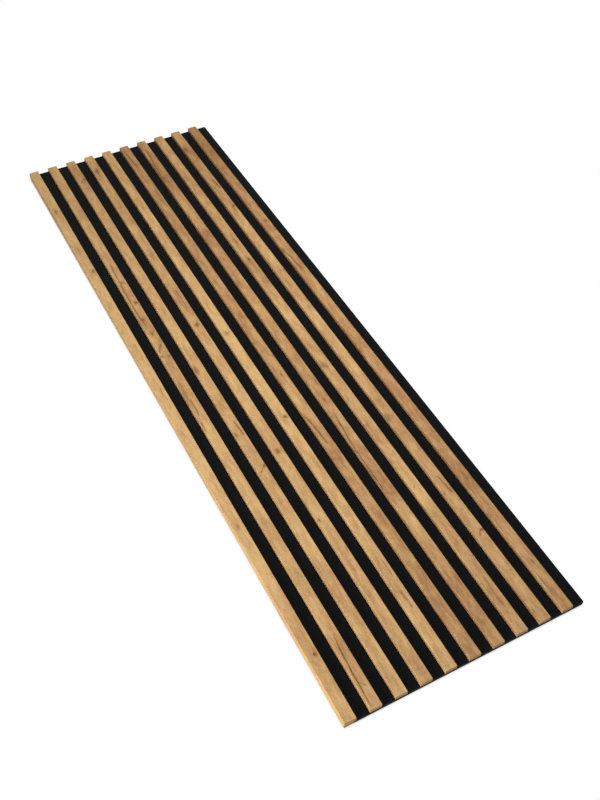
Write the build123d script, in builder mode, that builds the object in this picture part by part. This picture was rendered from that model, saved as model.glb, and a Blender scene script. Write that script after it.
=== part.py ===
"""Slat wall panel: wood-decor slats glued side by side on one black felt backing.

Millimetres. The panel lies on its back: +X runs across the slats, +Y along them and +Z out of the
slatted face. The origin is the middle of the panel's footprint, on the back of the felt.
"""

import os

from build123d import *

# Slats
slat_count = 10
slat_width = 28.0
slat_thickness = 12.0
slat_gap = 32.0
slat_edge_radius = 1.5  # rounding of the two long edges of the show face

# Whole panel
panel_length = 2000.0

# Felt backing
felt_thickness = 9.0
felt_corner_radius = 3.0  # rounding of the two free corners, beyond the last slat
felt_lap = 5.0  # how far the felt reaches into the rebate under the first slat
felt_side_gap = 0.3  # between the felt's edge and the wall of that rebate

# Layout across the panel
slat_pitch = slat_width + slat_gap
panel_width = slat_count * slat_pitch
panel_left = -panel_width / 2
panel_right = panel_width / 2
felt_left = panel_left + slat_width - felt_lap
felt_width = panel_right - felt_left
foot_width = slat_width - felt_lap - felt_side_gap  # part of the first slat that stands on the wall
far_end = panel_length / 2

os.makedirs("parts", exist_ok=True)

# Felt backing: one sheet, square where it enters the first slat and softened at its free corners
with BuildPart() as felt_backing:
    with BuildSketch(Plane.XY) as felt_outline:
        with Locations((felt_left, 0)):
            Rectangle(felt_width, panel_length, align=(Align.MIN, Align.CENTER))
        free_corners = felt_outline.vertices().group_by(Axis.X)[-1]
        fillet(free_corners, radius=felt_corner_radius)
    extrude(amount=felt_thickness)
felt_backing.part.label = "felt_backing"
export_step(felt_backing.part, "parts/felt_backing.step")

# Slats: a flat-backed section with a rounded show face, run the whole length of the panel.
# The first one has a foot beside the felt, down to the wall, so that no felt shows at that side.
for number in range(1, slat_count + 1):
    slat_left = panel_left + (number - 1) * slat_pitch
    section_plane = Plane(origin=(slat_left, far_end, felt_thickness), x_dir=(1, 0, 0), z_dir=(0, -1, 0))
    with BuildPart() as slat:
        with BuildSketch(section_plane) as section:
            Rectangle(slat_width, slat_thickness, align=(Align.MIN, Align.MIN))
            show_corners = section.vertices().group_by(Axis.Y)[-1]
            fillet(show_corners, radius=slat_edge_radius)
            if number == 1:
                Rectangle(foot_width, felt_thickness, align=(Align.MIN, Align.MAX))
        extrude(amount=panel_length)
    slat.part.label = f"slat_{number:02d}"
    export_step(slat.part, f"parts/slat_{number:02d}.step")
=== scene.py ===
"""Slat wall panel, dressed: ten slats in rustic oak decor on a sheet of black felt, on a white floor.

Metres in the panel's own frame: +X across the slats, +Y along them, +Z out of the slatted face. The marks
of the oak decor, and the painted shade at some far ends, are laid out in millimetres on each slat, from its
near end and its left edge.
"""

import math
from collections import namedtuple

import bpy
from mathutils import Matrix, Vector


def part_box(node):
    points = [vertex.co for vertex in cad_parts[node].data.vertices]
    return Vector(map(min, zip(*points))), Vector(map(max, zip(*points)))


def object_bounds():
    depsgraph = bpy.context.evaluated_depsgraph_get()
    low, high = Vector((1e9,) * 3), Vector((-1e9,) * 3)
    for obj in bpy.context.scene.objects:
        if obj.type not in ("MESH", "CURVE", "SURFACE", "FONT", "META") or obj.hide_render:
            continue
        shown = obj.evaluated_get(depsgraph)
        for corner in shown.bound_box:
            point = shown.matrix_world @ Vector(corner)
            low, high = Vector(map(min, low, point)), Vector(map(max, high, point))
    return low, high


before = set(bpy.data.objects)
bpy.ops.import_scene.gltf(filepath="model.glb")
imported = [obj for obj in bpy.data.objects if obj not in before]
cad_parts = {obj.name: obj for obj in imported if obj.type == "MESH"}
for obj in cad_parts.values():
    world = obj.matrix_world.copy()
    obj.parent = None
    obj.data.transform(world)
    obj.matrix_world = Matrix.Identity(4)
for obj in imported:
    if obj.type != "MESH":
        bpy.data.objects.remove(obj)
cad_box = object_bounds()

MM = 0.001
WHITE = (1.0, 1.0, 1.0, 1.0)

# Camera: where the photograph was taken from, and how it was held
CAMERA_PLACE = (-0.7654, -1.64, 1.9166)
CAMERA_HEADING = math.radians(28.75)  # from +Y towards +X
CAMERA_DIP = math.radians(49.38)  # below level
CAMERA_ROLL = math.radians(1.119)
CAMERA_LENS = 44.41

# Studio
FLOOR_HALF = 8.0
FLOOR_DROP = 0.0003  # below the panel's back, so that the two faces don't lie in one plane
FLOOR_BOUNCE = 0.6  # how white the floor is to everything but the camera
FLOOR_SHADE_REACH = 0.01
FLOOR_SHADE_RANGE = (0.2, 0.8)  # openness at which the shade beside the panel starts to lift, and is gone
SKY_STRENGTH = 0.04
Softbox = namedtuple("Softbox", "place aim side spread power")  # spread, in degrees, is set by a grid
SOFTBOXES = {
    "near_left_softbox": Softbox((-3.0, -1.9, 1.0), (0.0, -0.6, 0.0), 1.6, 62.0, 15.6),
    "top_softbox": Softbox((0.4, 0.2, 2.6), (0.4, 0.2, 0.0), 1.0, 180.0, 52.5),
}


def paint(red, green, blue):
    """A screen colour, 0 to 255, as the linear colour that shaders take."""
    return tuple(linear(part / 255) for part in (red, green, blue)) + (1.0,)


def linear(part):
    """One part of a screen colour, 0 to 1, as light."""
    return part / 12.92 if part <= 0.04045 else ((part + 0.055) / 1.055) ** 2.4


# Oak decor colours
STRAW = paint(228, 187, 127)
HONEY = paint(178, 131, 86)
PINKISH = paint(206, 152, 110)
YELLOWISH = paint(208, 170, 98)
UMBER = paint(138, 94, 50)
PORE_BROWN = paint(126, 90, 56)
SMUDGE_GREY = paint(118, 92, 56)
KNOT_BROWN = paint(138, 88, 40)
KNOT_DARK = paint(104, 64, 26)
CRACK_DARK = paint(90, 56, 22)

# Grain: lumps about across by along in millimetres, on a noise layer of their own.
# Spots are the part of a grain above a level: they begin at start and are whole at full.
Grain = namedtuple("Grain", "across along layer detail")
Spots = namedtuple("Spots", "grain start full")
WAVER = Grain(9.0, 26.0, 0.5, 2.0)
DRIFTS = Grain(40.0, 170.0, 5.0, 1.0)
PATCHES = Grain(14.0, 60.0, 10.0, 2.0)
MOTTLE = Grain(6.0, 20.0, 15.0, 2.0)
BANDS = Grain(5.0, 240.0, 20.0, 3.0)
FIBRES = Grain(0.9, 30.0, 30.0, 2.0)
FLECKS = Grain(2.2, 7.0, 35.0, 1.0)
VEINS = Spots(Grain(1.8, 80.0, 25.0, 1.0), 0.6, 0.78)
PORES = Spots(Grain(0.42, 7.0, 40.0, 1.0), 0.6, 0.72)
BLUSH = Spots(Grain(9.0, 26.0, 50.0, 1.0), 0.5, 0.75)
GOLD = Spots(Grain(9.0, 30.0, 55.0, 1.0), 0.5, 0.75)
CRACK_DEEPS = Spots(Grain(4.0, 16.0, 60.0, 1.0), 0.3, 0.6)
LAYERS_PER_SLAT = 100.0
NOISE_ROUGHNESS = 0.55

# How much each grain darkens the wood from straw towards honey, and clouds, painted far-end shade and pale
# places with it
TONE_WEIGHTS = {DRIFTS: 1.3, PATCHES: 1.5, MOTTLE: 0.7, BANDS: 0.8, FIBRES: 1.0, FLECKS: 0.8}
CLOUD_AND_SHADE_WEIGHT = 0.6
PALE_WEIGHT = 0.6

# How much of a tint its spots take on
BLUSH_SHARE = 0.6
GOLD_SHARE = 0.5
VEIN_SHARE = 0.35
PORE_SHARE = 0.45
HALO_SHARE = 0.4  # round knots and beside cracks

# Foil surface
FOIL_ROUGHNESS = 0.68
PORE_ROUGHER = 0.1
FIBRE_ROUGHER = 0.1
SAWN_ROUGHER = 0.15
FOIL_SPECULAR = 0.2
FOIL_RELIEF = 0.2
FOIL_RELIEF_HEIGHT = 0.15 * MM
PORE_DEPTH = 0.6
CRACK_DEPTH = 0.8
FIBRE_HEIGHT = 0.5

# Fibreboard under the decor, seen at the sawn ends and on the back, and denser towards its faces
BOARD_PALE = paint(190, 156, 116)
BOARD_DARK = paint(158, 124, 88)
BOARD_SPECKLE = Grain(0.5, 0.5, 0.0, 3.0)
BOARD_SPECKLE_WEIGHT = 1.3
BOARD_DENSE_RANGE = (0.4, 0.95)  # from the core, 0, to the faces, 1
BOARD_DENSE_WEIGHT = 0.5
SAWN_FACING = (0.6, 0.8)  # how squarely a face looks along the slat or down before it counts as sawn

# Felt
FELT_BLACK = paint(4, 5, 6)
FELT_FIBRE = paint(24, 26, 29)
FELT_CLUMPS = Grain(3.0, 3.0, 0.0, 3.0)
FELT_STRANDS = Spots(Grain(0.3, 5.0, 0.0, 1.0), 0.55, 0.75)
FELT_STRAND_TURNS = (8, 52, 97, 141)  # degrees
FELT_STRAND_TILT = (0.3, 0.2)
FELT_LAYER_STEP = 7.0
FELT_STRAND_WEIGHT = 0.55
FELT_CLUMP_WEIGHT = 0.8
FELT_ROUGHNESS = 0.92
FELT_STRAND_SMOOTHER = 0.1
FELT_RELIEF = 0.6
FELT_RELIEF_HEIGHT = 0.3 * MM
FELT_SPECULAR = 0.1
FELT_SHEEN = 0.03
FELT_SHEEN_ROUGHNESS = 0.6

# Drawing of the marks
WAVER_REACH = (4.0, 14.0, 0.0)  # how far the drawing wavers across and along, in millimetres
KNOT_BULGE = 5.0  # how far the grain bends round a knot, in millimetres
KNOT_GROWTH = 1.25
KNOT_CORE_GROWTH = 0.7
HALO_GROWTH = 2.6
CRACK_SIDE_GROWTH = 2.6
CRACK_SHALLOW = 0.5  # a crack's strength between its deep places
LINE_FADE = 0.15  # share of a line's length that fades at each end
CURVE_SPAN = 28.0  # millimetres across a slat that a line's curve can cover

# How much of a mark, from its middle to its rim, has its full strength
KNOT_FULL = 0.3
SMUDGE_FULL = 0.2
SOFT_FULL = 0.1
CRACK_FULL = 0.35
CRACK_SIDE_FULL = 0.0
STREAK_FULL = 0.2

# Marks of the decor, and painted shade at the far ends of slats 06, 07, 09 and 10. Along is from the slat's
# near end and across from its left edge, in millimetres.
Knot = namedtuple("Knot", "along across half_length half_width strength")
Smudge = namedtuple("Smudge", "along across half_length half_width strength")
# Clouds darken the decor; the long ones at the far ends of slats 06, 07, 09 and 10 are painted shade, where
# the light falls off towards the right.
CloudAndShade = namedtuple("CloudAndShade", "along across half_length half_width strength")
Pale = namedtuple("Pale", "along across half_length half_width strength")
Crack = namedtuple("Crack", "points half_width strength")
Streak = namedtuple("Streak", "points half_width strength")
Decor = namedtuple("Decor", "tone marks")

DECORS = {
    "slat_01": Decor(0.2, [
        Knot(159, 19, 6, 6, 0.75),
        Knot(515, 13, 12, 6, 0.3),
        Knot(1480, 20, 8, 6, 0.65),
        Knot(1780, 12, 15, 7, 0.4),
        Smudge(170, 22, 12, 4, 0.3),
        Smudge(494, 23, 7, 3, 0.45),
        CloudAndShade(110, 14, 170, 30, 0.45),
        CloudAndShade(135, 11, 25, 12, 0.5),
        CloudAndShade(228, 10, 15, 14, 0.3),
        CloudAndShade(515, 13, 18, 12, 0.4),
        CloudAndShade(1153, 15, 14, 10, 0.75),
        CloudAndShade(1463, 10, 28, 12, 0.45),
        CloudAndShade(1590, 13, 20, 12, 0.25),
        Pale(750, 14, 200, 30, 0.35),
        Crack([(935, 21), (968, 17), (990, 19)], 1.4, 0.55),
    ]),
    "slat_02": Decor(0.43, [
        Knot(62, 7.5, 6, 1.8, 0.5),
        Knot(92, 8, 5, 1.6, 0.4),
        Knot(1173, 14, 9, 4, 0.55),
        Knot(1235, 12, 8, 6, 0.5),
        Knot(1304, 20, 8, 6, 0.65),
        Knot(1398, 14, 8, 6, 0.45),
        Smudge(146, 10, 8, 4, 0.3),
        Smudge(1078, 22, 10, 8, 0.65),
        Smudge(1084, 3, 11, 8, 0.65),
        Smudge(1140, 23, 20, 6, 0.5),
        CloudAndShade(110, 14, 140, 30, 0.3),
        CloudAndShade(195, 15, 18, 12, 0.4),
        CloudAndShade(960, 12, 200, 30, 0.4),
        CloudAndShade(1110, 14, 170, 30, 0.5),
        Pale(600, 14, 160, 30, 0.35),
        Pale(1750, 14, 220, 30, 0.25),
        Crack([(-6, 5.5), (60, 7), (110, 9), (150, 11.5), (172, 14.5), (184, 20)], 2.0, 0.78),
        Crack([(800, 3), (818, 4.5), (834, 4)], 2.0, 0.6),
        Crack(
            [(1185, 13), (1225, 10), (1250, 7.5), (1320, 7), (1400, 9), (1465, 12), (1500, 18)],
            2.2, 0.7,
        ),
        Streak([(50, 19), (63, 8)], 2.6, 0.6),
        Streak([(850, 9), (885, 11), (918, 12)], 3.4, 0.75),
        Streak([(1096, 5), (1112, 11), (1132, 21)], 5.5, 0.7),
    ]),
    "slat_03": Decor(0.4, [
        Knot(640, 24, 7, 5, 0.55),
        Knot(757, 4, 11, 3.5, 0.45),
        Knot(1894, 24, 8, 5, 0.55),
        Smudge(340, 2, 45, 4, 0.35),
        Smudge(430, 1, 14, 4, 0.35),
        Smudge(998, 4, 28, 10, 0.7),
        Smudge(1922, 1, 12, 3, 0.35),
        CloudAndShade(800, 14, 130, 25, 0.3),
        CloudAndShade(1005, 14, 30, 14, 0.3),
        CloudAndShade(1900, 14, 120, 30, 0.35),
        Pale(1220, 14, 240, 30, 0.55),
        Crack([(742, 21.5), (780, 19.5), (807, 16.5)], 2.0, 0.75),
        Streak([(624, 6), (634, 15), (645, 28)], 4.0, 0.7),
        Streak([(1876, 6), (1888, 16), (1899, 28)], 4.0, 0.65),
    ]),
    "slat_04": Decor(0.45, [
        Knot(443, 6, 6, 3.2, 0.65),
        Knot(667, 13, 11, 7, 0.5),
        Knot(1150, 15, 12, 8, 0.6),
        Knot(1917, 14, 18, 9, 0.45),
        Smudge(346, 23, 18, 4, 0.45),
        Smudge(838, 24, 5, 3, 0.45),
        Smudge(890, 24, 6, 4, 0.45),
        Smudge(1112, 1, 16, 4, 0.35),
        Smudge(1262, 1, 25, 4, 0.35),
        Smudge(1908, 4, 8, 5, 0.35),
        CloudAndShade(229, 9, 14, 12, 0.45),
        CloudAndShade(668, 7, 16, 10, 0.4),
        CloudAndShade(1150, 9, 12, 9, 0.3),
        CloudAndShade(1270, 12, 60, 16, 0.35),
        CloudAndShade(1585, 16, 14, 8, 0.3),
        Pale(900, 14, 160, 30, 0.35),
        Streak([(278, 14), (290, 13), (305, 15)], 1.6, 0.35),
        Streak([(1220, 16), (1238, 17), (1256, 16)], 3.0, 0.5),
        Streak([(1258, 17), (1280, 17.5), (1305, 17)], 3.4, 0.7),
    ]),
    "slat_05": Decor(0.3, [
        Knot(755, 18, 6, 6, 0.65),
        Knot(1085, 13, 11, 8, 0.3),
        Smudge(1063, 22, 6, 4, 0.35),
        Smudge(1575, 22, 18, 4, 0.3),
        CloudAndShade(396, 13, 16, 12, 0.65),
        CloudAndShade(738, 9, 14, 9, 0.35),
        CloudAndShade(1080, 12, 22, 14, 0.3),
        CloudAndShade(1680, 12, 12, 8, 0.6),
        Pale(1100, 14, 420, 30, 0.4),
        Crack([(152, 18), (178, 16.5), (205, 14.5)], 2.0, 0.6),
        Crack([(243, 20), (265, 19.5), (290, 20)], 2.0, 0.55),
    ]),
    "slat_06": Decor(0.85, [
        Knot(885, 14, 7, 4, 0.45),
        Smudge(1889, 18, 12, 6, 0.35),
        CloudAndShade(300, 11, 50, 12, 0.35),
        CloudAndShade(1480, 18, 20, 8, 0.3),
        CloudAndShade(1590, 14, 25, 12, 0.35),
        # painted shade: the far end darker, where the light falls off
        CloudAndShade(1780, 14, 220, 30, 0.35),
        Pale(540, 14, 90, 30, 0.35),
        Pale(760, 14, 220, 30, 0.4),
        Crack([(625, 11), (650, 10.5), (700, 6), (745, 1)], 2.6, 0.75),
        Crack([(1878, 13), (1910, 11), (1945, 8.5), (1982, 5)], 2.4, 0.7),
        Streak([(505, 10), (520, 10), (535, 9)], 2.0, 0.3),
        Streak([(590, 23), (640, 20)], 2.0, 0.3),
    ]),
    "slat_07": Decor(0.8, [
        Knot(57, 10, 4, 3, 0.25),
        Knot(758, 12, 8, 2.8, 0.6),
        Smudge(175, 22, 35, 5, 0.35),
        Smudge(825, 23, 25, 5, 0.45),
        Smudge(820, 1, 10, 3, 0.35),
        CloudAndShade(110, 14, 150, 30, 0.3),
        CloudAndShade(1490, 20, 25, 9, 0.5),
        # painted shade: the far end darker, where the light falls off
        CloudAndShade(1820, 14, 220, 30, 0.4),
        Pale(360, 14, 80, 30, 0.4),
        Pale(1110, 14, 120, 30, 0.4),
        Crack([(430, 2), (500, 1.5), (560, 2), (600, 2.5), (640, 6), (690, 10.5), (730, 15)], 2.2, 0.85),
        Crack([(1750, 4.5), (1800, 3.5), (1850, 5), (1905, 9.5), (1965, 15)], 2.4, 0.75),
        Streak([(25, 13), (50, 12), (75, 9)], 1.5, 0.3),
    ]),
    "slat_08": Decor(0.56, [
        Knot(635, 5, 4, 2.5, 0.35),
        Knot(852, 14, 5, 4, 0.3),
        Knot(1325, 16, 11, 5.5, 0.7),
        Smudge(125, 1, 25, 4, 0.35),
        Smudge(533, 21, 14, 4, 0.4),
        Smudge(757, 19, 12, 4, 0.3),
        Smudge(862, 9, 20, 10, 0.5),
        Smudge(1275, 2, 25, 4, 0.35),
        Smudge(1422, 2, 15, 4, 0.35),
        CloudAndShade(865, 10, 18, 13, 0.55),
        CloudAndShade(1332, 9, 22, 12, 0.4),
        CloudAndShade(1715, 14, 15, 10, 0.35),
        Pale(960, 10, 40, 16, 0.3),
        Pale(1050, 14, 150, 30, 0.3),
        Streak([(62, 15), (100, 13.5), (155, 17)], 4.5, 0.5),
        Streak([(415, 4), (423, 10), (430, 18)], 2.8, 0.5),
        Streak([(475, 13), (490, 12), (505, 12)], 2.0, 0.3),
        Streak([(1402, 16), (1430, 16.5), (1462, 16)], 3.0, 0.4),
    ]),
    "slat_09": Decor(0.62, [
        Knot(253, 23, 6, 5, 0.75),
        Knot(1567, 22, 7, 5, 0.65),
        Knot(1893, 7, 18, 8, 0.65),
        Smudge(28, 3, 10, 5, 0.45),
        Smudge(290, 1, 8, 3, 0.3),
        Smudge(375, 2, 10, 5, 0.5),
        Smudge(633, 3, 26, 9, 0.75),
        Smudge(1672, 8, 9, 5, 0.45),
        CloudAndShade(430, 14, 110, 30, 0.35),
        CloudAndShade(637, 14, 14, 12, 0.45),
        CloudAndShade(1612, 9, 16, 8, 0.4),
        # painted shade: the far end darker, where the light falls off
        CloudAndShade(1800, 14, 200, 30, 0.85),
        Pale(110, 14, 140, 30, 0.4),
        Pale(960, 14, 280, 30, 0.5),
        Crack([(366, 21), (400, 18.5), (430, 16)], 2.4, 0.7),
        Crack([(1660, 22), (1690, 20), (1718, 17.5)], 2.8, 0.9),
        Streak([(238, 10), (250, 17), (258, 28)], 4.0, 0.7),
        Streak([(1555, 10), (1564, 17), (1574, 28)], 4.0, 0.65),
    ]),
    "slat_10": Decor(0.89, [
        Knot(128, 15, 9, 3.6, 0.48),
        Knot(1458, 17, 9, 6, 0.45),
        Smudge(22, 17, 6, 4, 0.3),
        Smudge(76, 5, 32, 5, 0.4),
        Smudge(1222, 21, 10, 4, 0.35),
        CloudAndShade(560, 14, 110, 30, 0.35),
        CloudAndShade(1375, 14, 18, 10, 0.3),
        # painted shade: the far end darker, where the light falls off
        CloudAndShade(1820, 14, 220, 30, 0.55),
        Pale(190, 14, 160, 30, 0.35),
        Pale(1120, 14, 100, 30, 0.25),
        Crack([(1212, 13.5), (1250, 10), (1290, 6), (1335, 0)], 2.4, 0.75),
    ]),
}


class Value:
    """A shader socket that Python arithmetic can be written with. Each operation adds a Math node."""

    def __init__(self, socket):
        self.socket = socket

    def __add__(self, other):
        return maths("ADD", self, other)

    def __radd__(self, other):
        return maths("ADD", other, self)

    def __sub__(self, other):
        return maths("SUBTRACT", self, other)

    def __rsub__(self, other):
        return maths("SUBTRACT", other, self)

    def __mul__(self, other):
        return maths("MULTIPLY", self, other)

    def __rmul__(self, other):
        return maths("MULTIPLY", other, self)

    def __truediv__(self, other):
        return maths("DIVIDE", self, other)

    def __abs__(self):
        return maths("ABSOLUTE", self)


def maths(operation, *terms):
    """A Math node on values and plain numbers, at least one of them a value."""
    tree = next(term.socket.id_data for term in terms if isinstance(term, Value))
    node = tree.nodes.new("ShaderNodeMath")
    node.operation = operation
    for plug, term in zip(node.inputs, terms):
        connect(plug, term)
    return Value(node.outputs[0])


def connect(plug, term):
    """Links a value into a socket, or sets a plain number or colour there."""
    if isinstance(term, Value):
        plug.id_data.links.new(term.socket, plug)
    else:
        plug.default_value = term


def draw_curve(mapping, stops):
    """Runs a curve node's line smoothly through stops, each a pair from 0 to 1."""
    points = mapping.curves[0].points
    points[0].location = stops[0]
    points[1].location = stops[-1]
    for stop in stops[1:-1]:
        points.new(*stop)
    mapping.update()


class Nodes:
    """A node tree under construction."""

    def __init__(self, tree):
        self.tree = tree

    def node(self, kind, settings=None, plugs=None, *outputs):
        """Adds one node: its settings first, then the values or links of its sockets.

        Gives the named output, the first one where none is named, or a list where several are.
        """
        made = self.tree.nodes.new(kind)
        for name, setting in (settings or {}).items():
            if name == "stops":
                draw_curve(made.mapping, setting)
            else:
                setattr(made, name, setting)
        for name, term in (plugs or {}).items():
            connect(made.inputs[name], term)
        values = [Value(made.outputs[output]) for output in outputs or (0,)]
        return values if len(values) > 1 else values[0]

    def vector(self, operation, *terms):
        """A Vector Math node that gives a vector."""
        return self.node("ShaderNodeVectorMath", {"operation": operation}, dict(enumerate(terms)))

    def split(self, vector):
        return self.node("ShaderNodeSeparateXYZ", None, {0: vector}, 0, 1, 2)

    def join(self, x, y, z):
        return self.node("ShaderNodeCombineXYZ", None, {0: x, 1: y, 2: z})

    def mix(self, share, first, second):
        """A colour that goes from first to second as share goes from 0 to 1."""
        return self.node("ShaderNodeMix", {"data_type": "RGBA"}, {0: share, 6: first, 7: second}, 2)

    def smooth(self, value, start, end, top=1.0):
        """0 at start and top at end, with soft ends. Start may be above end."""
        plugs = {"Value": value, "From Min": start, "From Max": end, "To Max": top}
        return self.node("ShaderNodeMapRange", {"interpolation_type": "SMOOTHSTEP"}, plugs)

    def noise(self, place, grain, layer, output=0):
        """Cloudy noise in lumps of the grain's size, in the units of place."""
        stretch = (1 / grain.across, 1 / grain.along, 1.0)
        scaled = self.vector("MULTIPLY_ADD", place, stretch, (0.0, 0.0, layer + grain.layer))
        plugs = {"Vector": scaled, "Scale": 1.0, "Detail": grain.detail, "Roughness": NOISE_ROUGHNESS}
        return self.node("ShaderNodeTexNoise", None, plugs, output)

    def spots(self, place, spots, layer):
        """Spots where the grain is above a level, 0 to 1."""
        return self.smooth(self.noise(place, spots.grain, layer), spots.start, spots.full)

    def patch(self, place, along, across, half_length, half_width):
        """How far a point lies from the middle of an oval, where 1 is its rim."""
        plugs = {
            "Vector": place,
            "Location": (across, along, 0.0),
            "Scale": (half_width, half_length, 1.0),
        }
        inside = self.node("ShaderNodeMapping", {"vector_type": "TEXTURE"}, plugs)
        return self.node("ShaderNodeVectorMath", {"operation": "LENGTH"}, {0: inside}, "Value")

    def bump(self, strength, distance, height):
        plugs = {"Strength": strength, "Distance": distance, "Height": height}
        return self.node("ShaderNodeBump", None, plugs, "Normal")


def finish(name):
    """A new material, its nodes and its shader."""
    material = bpy.data.materials.new(name)
    material.use_nodes = True
    return material, Nodes(material.node_tree), material.node_tree.nodes["Principled BSDF"]


def strongest(masks):
    """The highest of several values, or 0 where there are none."""
    result = 0.0
    for mask in masks:
        result = mask if result == 0.0 else maths("MAXIMUM", result, mask)
    return result


def ovals(nodes, place, marks, full):
    """The mask of oval marks: whole inside the share full of each oval, gone at its rim."""
    return strongest(
        nodes.smooth(nodes.patch(place, *mark[:4]), 1.0, full, mark.strength)
        for mark in marks
    )


def lines(nodes, place, marks, full):
    """The mask of long thin marks, each on a curve through its points and faded at both ends."""
    across, along, _ = nodes.split(place)
    masks = []
    for mark in marks:
        first = mark.points[0][0]
        length = mark.points[-1][0] - first
        way = (along - first) / length
        stops = [((point - first) / length, side / CURVE_SPAN) for point, side in mark.points]
        middle = CURVE_SPAN * nodes.node("ShaderNodeFloatCurve", {"stops": stops}, {"Value": way})
        gap = abs(across - middle) / mark.half_width
        ends = nodes.smooth(way, 0.0, LINE_FADE) * nodes.smooth(way, 1.0, 1.0 - LINE_FADE)
        masks.append(nodes.smooth(gap, 1.0, full, mark.strength) * ends)
    return strongest(masks)


def grown(marks, times):
    """Oval marks made larger."""
    return [
        mark._replace(half_length=mark.half_length * times, half_width=mark.half_width * times)
        for mark in marks
    ]


def widened(marks, times):
    """Line marks made wider."""
    return [mark._replace(half_width=mark.half_width * times) for mark in marks]


def oak_decor(name, decor, layer):
    """Rustic oak decor foil on one slat, wrapped over its long edges. The sawn ends are bare fibreboard."""
    low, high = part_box(name)
    width = (high.x - low.x) / MM
    material, nodes, shader = finish(f"oak_decor_{name}")
    chosen = {
        kind: [mark for mark in decor.marks if isinstance(mark, kind)]
        for kind in (Knot, Smudge, CloudAndShade, Pale, Crack, Streak)
    }

    # Decor coordinates: across is unrolled over the slat's sides, along runs from the near end
    point = nodes.node("ShaderNodeTexCoord", None, None, "Object")
    x, y, z = nodes.split(point)
    from_middle = (x - (low.x + high.x) / 2) / MM
    depth = (high.z - z) / MM
    side = maths("SIGN", from_middle)
    across = from_middle + side * depth + width / 2
    along = (y - low.y) / MM
    flat = nodes.join(across, along, 0.0)

    # Everything drawn on the decor wavers a little
    waver = nodes.vector("SUBTRACT", nodes.noise(flat, WAVER, layer, "Color"), (0.5, 0.5, 0.5))
    drawn = nodes.vector("MULTIPLY_ADD", waver, WAVER_REACH, flat)

    knots = ovals(nodes, drawn, grown(chosen[Knot], KNOT_GROWTH), KNOT_FULL)
    knot_cores = ovals(nodes, drawn, grown(chosen[Knot], KNOT_CORE_GROWTH), SOFT_FULL)
    halos = ovals(nodes, drawn, grown(chosen[Knot], HALO_GROWTH), SOFT_FULL)
    smudges = ovals(nodes, drawn, chosen[Smudge], SMUDGE_FULL)
    clouds_and_shade = ovals(nodes, drawn, chosen[CloudAndShade], SOFT_FULL)
    # darker clouds in the decor, with painted shade at some far ends
    pales = ovals(nodes, drawn, chosen[Pale], SOFT_FULL)
    deeps = CRACK_SHALLOW + (1.0 - CRACK_SHALLOW) * nodes.spots(flat, CRACK_DEEPS, layer)
    cracks = lines(nodes, drawn, chosen[Crack], CRACK_FULL) * deeps
    crack_sides = lines(nodes, drawn, widened(chosen[Crack], CRACK_SIDE_GROWTH), CRACK_SIDE_FULL)
    streaks = lines(nodes, drawn, chosen[Streak], STREAK_FULL)

    # Grain bends round the knots
    grained = nodes.join(nodes.split(drawn)[0] + halos * KNOT_BULGE, along, 0.0)
    grains = {grain: nodes.noise(grained, grain, layer) - 0.5 for grain in TONE_WEIGHTS}
    fibres = grains[FIBRES]
    pores = nodes.spots(grained, PORES, layer)

    # clouds darken the wood, partly as painted shade at the far ends
    tone = decor.tone + CLOUD_AND_SHADE_WEIGHT * clouds_and_shade - PALE_WEIGHT * pales
    for grain, weight in TONE_WEIGHTS.items():
        tone = tone + weight * grains[grain]
    colour = nodes.mix(tone, STRAW, HONEY)
    colour = nodes.mix(tone - 1.0, colour, UMBER)
    colour = nodes.mix(BLUSH_SHARE * nodes.spots(grained, BLUSH, layer), colour, PINKISH)
    colour = nodes.mix(GOLD_SHARE * nodes.spots(grained, GOLD, layer), colour, YELLOWISH)
    colour = nodes.mix(VEIN_SHARE * nodes.spots(grained, VEINS, layer), colour, UMBER)
    colour = nodes.mix(PORE_SHARE * pores, colour, PORE_BROWN)
    colour = nodes.mix(HALO_SHARE * maths("MAXIMUM", halos, crack_sides), colour, UMBER)
    colour = nodes.mix(streaks, colour, UMBER)
    colour = nodes.mix(smudges, colour, SMUDGE_GREY)
    colour = nodes.mix(knots, colour, KNOT_BROWN)
    colour = nodes.mix(knot_cores, colour, KNOT_DARK)
    colour = nodes.mix(cracks, colour, CRACK_DARK)

    # Sawn ends and back
    facing = nodes.split(nodes.node("ShaderNodeTexCoord", None, None, "Normal"))
    sawn = nodes.smooth(maths("MAXIMUM", abs(facing[1]), -1.0 * facing[2]), *SAWN_FACING)
    speckle = nodes.noise(nodes.join(from_middle, along, depth), BOARD_SPECKLE, layer)
    half_thickness = (high.z - low.z) / MM / 2
    from_core = abs(depth - half_thickness) / half_thickness
    dense = nodes.smooth(from_core, *BOARD_DENSE_RANGE, BOARD_DENSE_WEIGHT)
    board = nodes.mix(dense + BOARD_SPECKLE_WEIGHT * (speckle - 0.5), BOARD_PALE, BOARD_DARK)
    connect(shader.inputs["Base Color"], nodes.mix(sawn, colour, board))

    rough = FOIL_ROUGHNESS + PORE_ROUGHER * pores + FIBRE_ROUGHER * fibres + SAWN_ROUGHER * sawn
    connect(shader.inputs["Roughness"], rough)
    foil_relief = 1.0 - PORE_DEPTH * pores - CRACK_DEPTH * cracks + FIBRE_HEIGHT * fibres
    relief = foil_relief * (1.0 - sawn) + speckle * sawn
    connect(shader.inputs["Normal"], nodes.bump(FOIL_RELIEF, FOIL_RELIEF_HEIGHT, relief))
    shader.inputs["Specular IOR Level"].default_value = FOIL_SPECULAR
    return material


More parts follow.
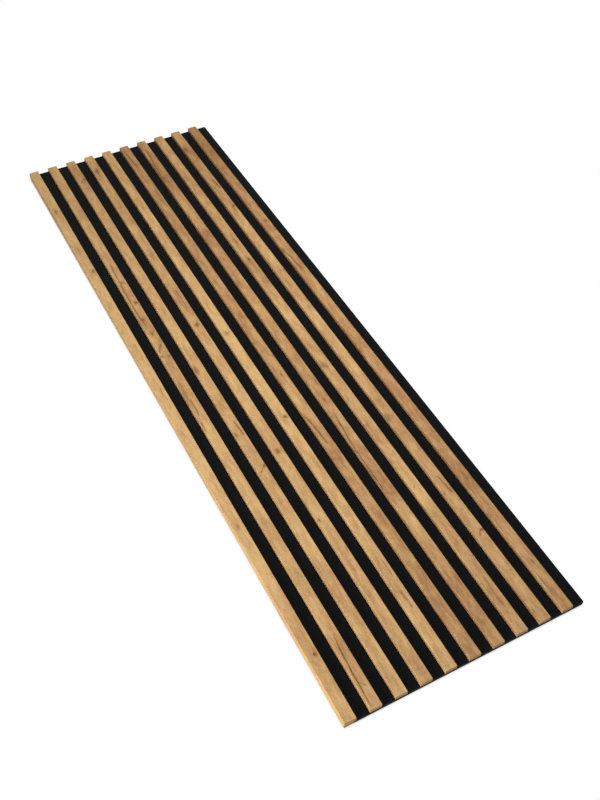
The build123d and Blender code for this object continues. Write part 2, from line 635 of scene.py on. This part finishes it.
def black_felt():
    """Needled black felt: clumps and fine fibres lying every way."""
    material, nodes, shader = finish("black_felt")
    point = nodes.node("ShaderNodeTexCoord", None, None, "Object")
    scaled = nodes.vector("MULTIPLY", point, (1 / MM, 1 / MM, 1 / MM))
    clumps = nodes.noise(scaled, FELT_CLUMPS, 0.0)
    strands = []
    for number, turn in enumerate(FELT_STRAND_TURNS):
        plugs = {"Vector": scaled, "Rotation": (*FELT_STRAND_TILT, math.radians(turn))}
        turned = nodes.node("ShaderNodeMapping", {"vector_type": "POINT"}, plugs)
        strands.append(nodes.spots(turned, FELT_STRANDS, FELT_LAYER_STEP * number))
    strand = strongest(strands)
    lightness = FELT_STRAND_WEIGHT * strand + FELT_CLUMP_WEIGHT * (clumps - 0.5)
    connect(shader.inputs["Base Color"], nodes.mix(lightness, FELT_BLACK, FELT_FIBRE))
    connect(shader.inputs["Roughness"], FELT_ROUGHNESS - FELT_STRAND_SMOOTHER * strand)
    connect(shader.inputs["Normal"], nodes.bump(FELT_RELIEF, FELT_RELIEF_HEIGHT, strand + clumps))
    shader.inputs["Specular IOR Level"].default_value = FELT_SPECULAR
    shader.inputs["Sheen Weight"].default_value = FELT_SHEEN
    shader.inputs["Sheen Roughness"].default_value = FELT_SHEEN_ROUGHNESS
    return material


def dress(node_name, material):
    """Gives a CAD node its finish."""
    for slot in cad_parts[node_name].material_slots:
        slot.material = material


def seen_rays(nodes):
    """1 for rays that show the surface: straight to the camera, in a mirror or through glass."""
    shown = ("Is Camera Ray", "Is Glossy Ray", "Is Transmission Ray")
    return strongest(nodes.node("ShaderNodeLightPath", None, None, *shown))


def white_floor():
    """A white floor that keeps the panel's shadow where it lies close."""
    place = (0.0, 0.0, cad_box[0].z - FLOOR_DROP)
    bpy.ops.object.select_all(action="DESELECT")
    bpy.ops.mesh.primitive_plane_add(size=2 * FLOOR_HALF, location=place)
    floor = bpy.context.object
    floor.name = "studio_floor"
    material, nodes, _ = finish("studio_floor")
    shown = seen_rays(nodes)
    grey = (FLOOR_BOUNCE, FLOOR_BOUNCE, FLOOR_BOUNCE, 1.0)
    lit = nodes.node("ShaderNodeBsdfDiffuse", None, {"Color": nodes.mix(shown, grey, WHITE)})
    glow = nodes.node("ShaderNodeEmission", None, {"Color": WHITE, "Strength": 1.0})
    openness = nodes.node("ShaderNodeAmbientOcclusion", None, {"Distance": FLOOR_SHADE_REACH}, "AO")
    share = shown * nodes.smooth(openness, *FLOOR_SHADE_RANGE)
    surface = nodes.node("ShaderNodeMixShader", None, {0: share, 1: lit, 2: glow})
    connect(material.node_tree.nodes["Material Output"].inputs["Surface"], surface)
    floor.data.materials.append(material)


def white_sky():
    """An even white sky: white to the camera and much weaker on the panel."""
    world = bpy.data.worlds.new("studio_sky")
    bpy.context.scene.world = world
    world.use_nodes = True
    shown = seen_rays(Nodes(world.node_tree))
    background = world.node_tree.nodes["Background"]
    background.inputs["Color"].default_value = WHITE
    connect(background.inputs["Strength"], SKY_STRENGTH + (1.0 - SKY_STRENGTH) * shown)


def hang_softbox(name, box):
    """A large soft lamp at its place, turned towards its aim."""
    lamp = bpy.data.lights.new(name, "AREA")
    lamp.size = box.side
    lamp.spread = math.radians(box.spread)
    lamp.energy = box.power
    holder = bpy.data.objects.new(name, lamp)
    bpy.context.scene.collection.objects.link(holder)
    holder.location = box.place
    aim = Vector(box.aim) - Vector(box.place)
    holder.rotation_euler = aim.to_track_quat("-Z", "Y").to_euler()


def photo_camera():
    """The camera at the photograph's place and angle."""
    data = bpy.data.cameras.new("photo_camera")
    data.lens = CAMERA_LENS
    camera = bpy.data.objects.new("photo_camera", data)
    bpy.context.scene.collection.objects.link(camera)
    turn = (
        Matrix.Rotation(-CAMERA_HEADING, 4, "Z")
        @ Matrix.Rotation(math.pi / 2 - CAMERA_DIP, 4, "X")
        @ Matrix.Rotation(CAMERA_ROLL, 4, "Z")
    )
    camera.matrix_world = Matrix.Translation(CAMERA_PLACE) @ turn
    bpy.context.scene.camera = camera


for number, (slat, decor) in enumerate(DECORS.items()):
    dress(slat, oak_decor(slat, decor, LAYERS_PER_SLAT * number))
dress("felt_backing", black_felt())
white_floor()
white_sky()
for lamp_name, box in SOFTBOXES.items():
    hang_softbox(lamp_name, box)
photo_camera()
bpy.context.scene.view_settings.view_transform = "Standard"
